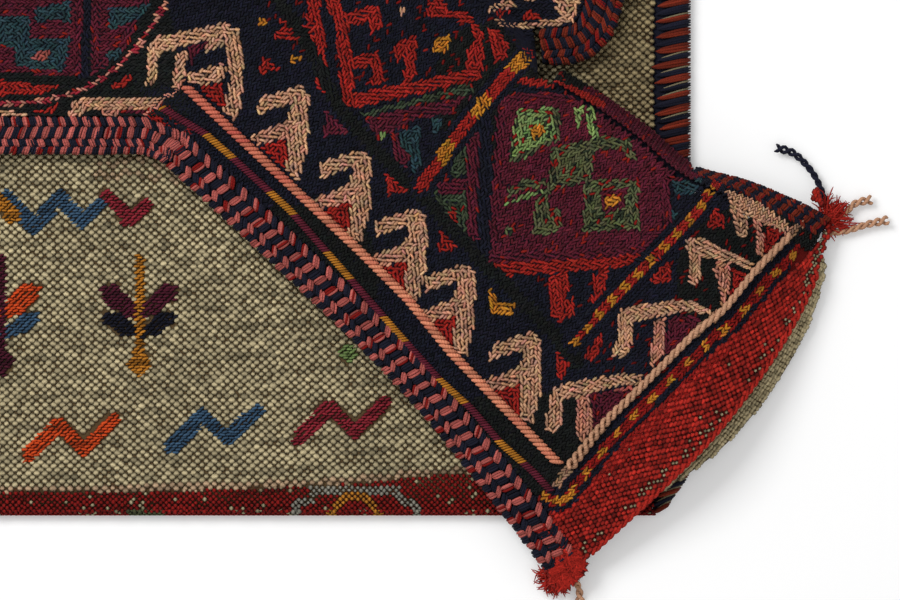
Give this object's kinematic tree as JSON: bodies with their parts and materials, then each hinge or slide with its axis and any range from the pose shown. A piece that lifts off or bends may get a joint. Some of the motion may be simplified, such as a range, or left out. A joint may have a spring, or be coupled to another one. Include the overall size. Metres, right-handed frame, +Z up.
{
  "type": "necked kilim bag",
  "caption": "Flat wool bag with a narrower neck, patterned wrapped-weft front, plain back and wrapped seams, lying back up with its neck folded over its back.",
  "frame": {"origin": "on the table under the middle of the fold, on the underside of the front cloth", "axes": "+X along the bottom hem towards the mouth's side, +Y from the hem towards the fold, +Z up, away from the table"},
  "size_m": [0.5476, 0.3115, 0.0255],
  "materials": {
    "cloth": "matt wool",
    "cream_end_1": "matt wool",
    "cream_end_2": "matt wool",
    "dark_guard_line": "matt wool",
    "green_hook": "matt wool",
    "green_square": "matt wool",
    "hem_band": "matt wool",
    "left_neck_braid": "matt wool",
    "left_side_braid": "matt wool",
    "middle_cross_band": "matt wool",
    "mouth_band": "matt wool",
    "mouth_cross_band": "matt wool",
    "mouth_end": "matt wool",
    "mouth_guard_line": "matt wool",
    "mouth_hook_1": "matt wool",
    "mouth_hook_2": "matt wool",
    "mouth_hook_3": "matt wool",
    "navy_end": "matt wool",
    "navy_square": "matt wool",
    "olive_square": "matt wool",
    "pink_guard_line": "matt wool",
    "plum_medallion": "matt wool",
    "red_medallion": "matt wool",
    "right_neck_braid": "matt wool",
    "right_side_braid": "matt wool",
    "shoulder_medallion": "matt wool",
    "shoulder_square": "matt wool",
    "side_hook_1": "matt wool",
    "side_hook_2": "matt wool",
    "side_hook_3": "matt wool",
    "side_hook_4": "matt wool",
    "side_hook_5": "matt wool",
    "side_hook_6": "matt wool",
    "sprig_1_left_lower_leaf": "matt wool",
    "sprig_1_left_upper_leaf": "matt wool",
    "sprig_1_right_lower_leaf": "matt wool",
    "sprig_1_right_upper_leaf": "matt wool",
    "sprig_1_stem": "matt wool",
    "sprig_2_left_lower_leaf": "matt wool",
    "sprig_2_left_upper_leaf": "matt wool",
    "sprig_2_right_lower_leaf": "matt wool",
    "sprig_2_right_upper_leaf": "matt wool",
    "sprig_2_stem": "matt wool",
    "sprig_3_left_lower_leaf": "matt wool",
    "sprig_3_left_upper_leaf": "matt wool",
    "sprig_3_right_lower_leaf": "matt wool",
    "sprig_3_right_upper_leaf": "matt wool",
    "sprig_3_stem": "matt wool",
    "upper_zigzag_blue": "matt wool",
    "upper_zigzag_crimson": "matt wool",
    "zigzag_1": "matt wool",
    "zigzag_2": "matt wool",
    "zigzag_3": "matt wool",
    "zigzag_4": "matt wool",
    "zigzag_5": "matt wool"
  },
  "bodies": {
    "root": {"cloth": "cloth", "cream_end_1": "cream_end_1", "cream_end_2": "cream_end_2", "dark_guard_line": "dark_guard_line", "green_hook": "green_hook", "green_square": "green_square", "hem_band": "hem_band", "left_neck_braid": "left_neck_braid", "left_side_braid": "left_side_braid", "middle_cross_band": "middle_cross_band", "mouth_band": "mouth_band", "mouth_cross_band": "mouth_cross_band", "mouth_end": "mouth_end", "mouth_guard_line": "mouth_guard_line", "mouth_hook_1": "mouth_hook_1", "mouth_hook_2": "mouth_hook_2", "mouth_hook_3": "mouth_hook_3", "navy_end": "navy_end", "navy_square": "navy_square", "olive_square": "olive_square", "pink_guard_line": "pink_guard_line", "plum_medallion": "plum_medallion", "red_medallion": "red_medallion", "right_neck_braid": "right_neck_braid", "right_side_braid": "right_side_braid", "shoulder_medallion": "shoulder_medallion", "shoulder_square": "shoulder_square", "side_hook_1": "side_hook_1", "side_hook_2": "side_hook_2", "side_hook_3": "side_hook_3", "side_hook_4": "side_hook_4", "side_hook_5": "side_hook_5", "side_hook_6": "side_hook_6", "sprig_1_left_lower_leaf": "sprig_1_left_lower_leaf", "sprig_1_left_upper_leaf": "sprig_1_left_upper_leaf", "sprig_1_right_lower_leaf": "sprig_1_right_lower_leaf", "sprig_1_right_upper_leaf": "sprig_1_right_upper_leaf", "sprig_1_stem": "sprig_1_stem", "sprig_2_left_lower_leaf": "sprig_2_left_lower_leaf", "sprig_2_left_upper_leaf": "sprig_2_left_upper_leaf", "sprig_2_right_lower_leaf": "sprig_2_right_lower_leaf", "sprig_2_right_upper_leaf": "sprig_2_right_upper_leaf", "sprig_2_stem": "sprig_2_stem", "sprig_3_left_lower_leaf": "sprig_3_left_lower_leaf", "sprig_3_left_upper_leaf": "sprig_3_left_upper_leaf", "sprig_3_right_lower_leaf": "sprig_3_right_lower_leaf", "sprig_3_right_upper_leaf": "sprig_3_right_upper_leaf", "sprig_3_stem": "sprig_3_stem", "upper_zigzag_blue": "upper_zigzag_blue", "upper_zigzag_crimson": "upper_zigzag_crimson", "zigzag_1": "zigzag_1", "zigzag_2": "zigzag_2", "zigzag_3": "zigzag_3", "zigzag_4": "zigzag_4", "zigzag_5": "zigzag_5"}
  },
  "joints": []
}
